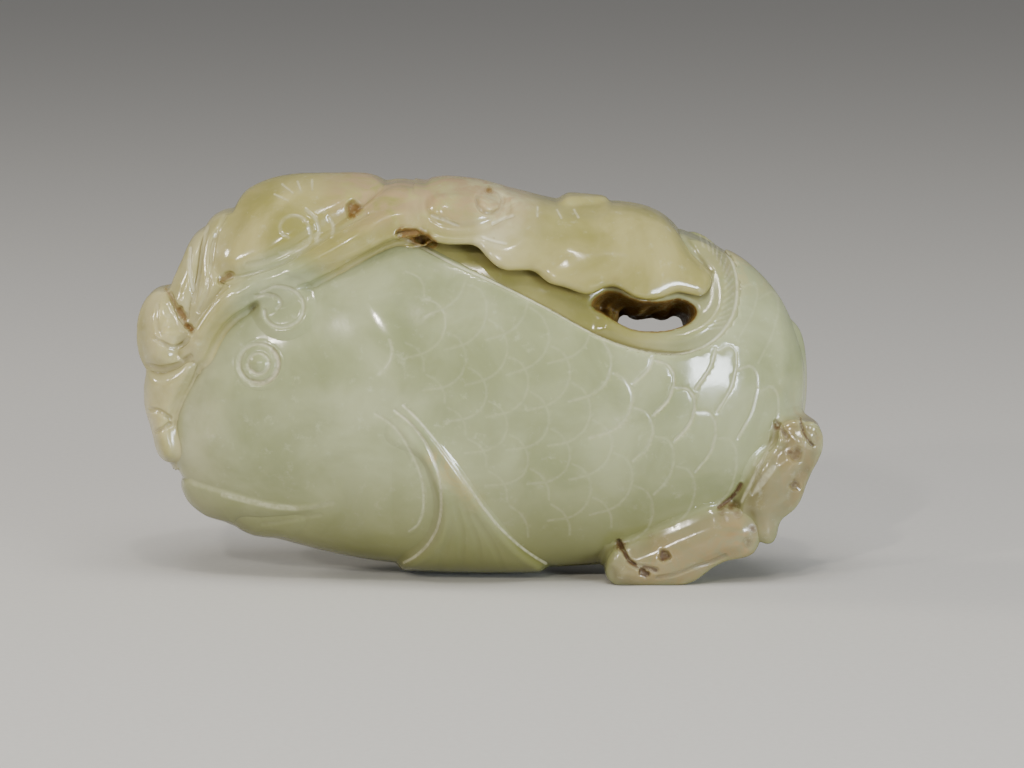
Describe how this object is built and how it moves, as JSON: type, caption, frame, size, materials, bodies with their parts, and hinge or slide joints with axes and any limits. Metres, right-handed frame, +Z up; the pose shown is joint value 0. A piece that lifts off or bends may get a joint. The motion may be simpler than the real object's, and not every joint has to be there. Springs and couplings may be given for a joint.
{
  "type": "jade figurine",
  "caption": "Pebble-shaped jade carving of a plump fish under a spray of leaves and buds, with its two-lobed russet tail folded to the front and a pierced hole under the back leaf.",
  "frame": {"origin": "middle of the bottom of the carving's bounding box, on the surface that it stands on", "axes": "+X from the fish's snout to its tail bend, +Y from the fish's left flank to its right flank, +Z up"},
  "size_m": [0.08, 0.0312, 0.0477],
  "materials": {
    "celadon_jade": "polished",
    "olive_jade": "polished",
    "russet_jade": "polished"
  },
  "bodies": {
    "root": {"back_leaf": "olive_jade", "dorsal_fin": "olive_jade", "front_leaf": "olive_jade", "head": "celadon_jade", "inner_leaf_blade": "olive_jade", "leaf_tip": "olive_jade", "left_eye": "celadon_jade", "left_gill_cover": "celadon_jade", "left_pectoral_fin": "celadon_jade", "lower_lip": "celadon_jade", "main_stem": "olive_jade", "outer_leaf_blade": "olive_jade", "right_eye": "celadon_jade", "right_gill_cover": "celadon_jade", "right_pectoral_fin": "celadon_jade", "seed_pod": "olive_jade", "snout_sprig": "olive_jade", "stem_scroll": "olive_jade", "tail_lower_lobe": "russet_jade", "tail_stalk": "celadon_jade", "tail_upper_lobe": "russet_jade", "top_bud": "olive_jade", "trunk": "celadon_jade", "upper_lip": "celadon_jade"}
  },
  "joints": []
}
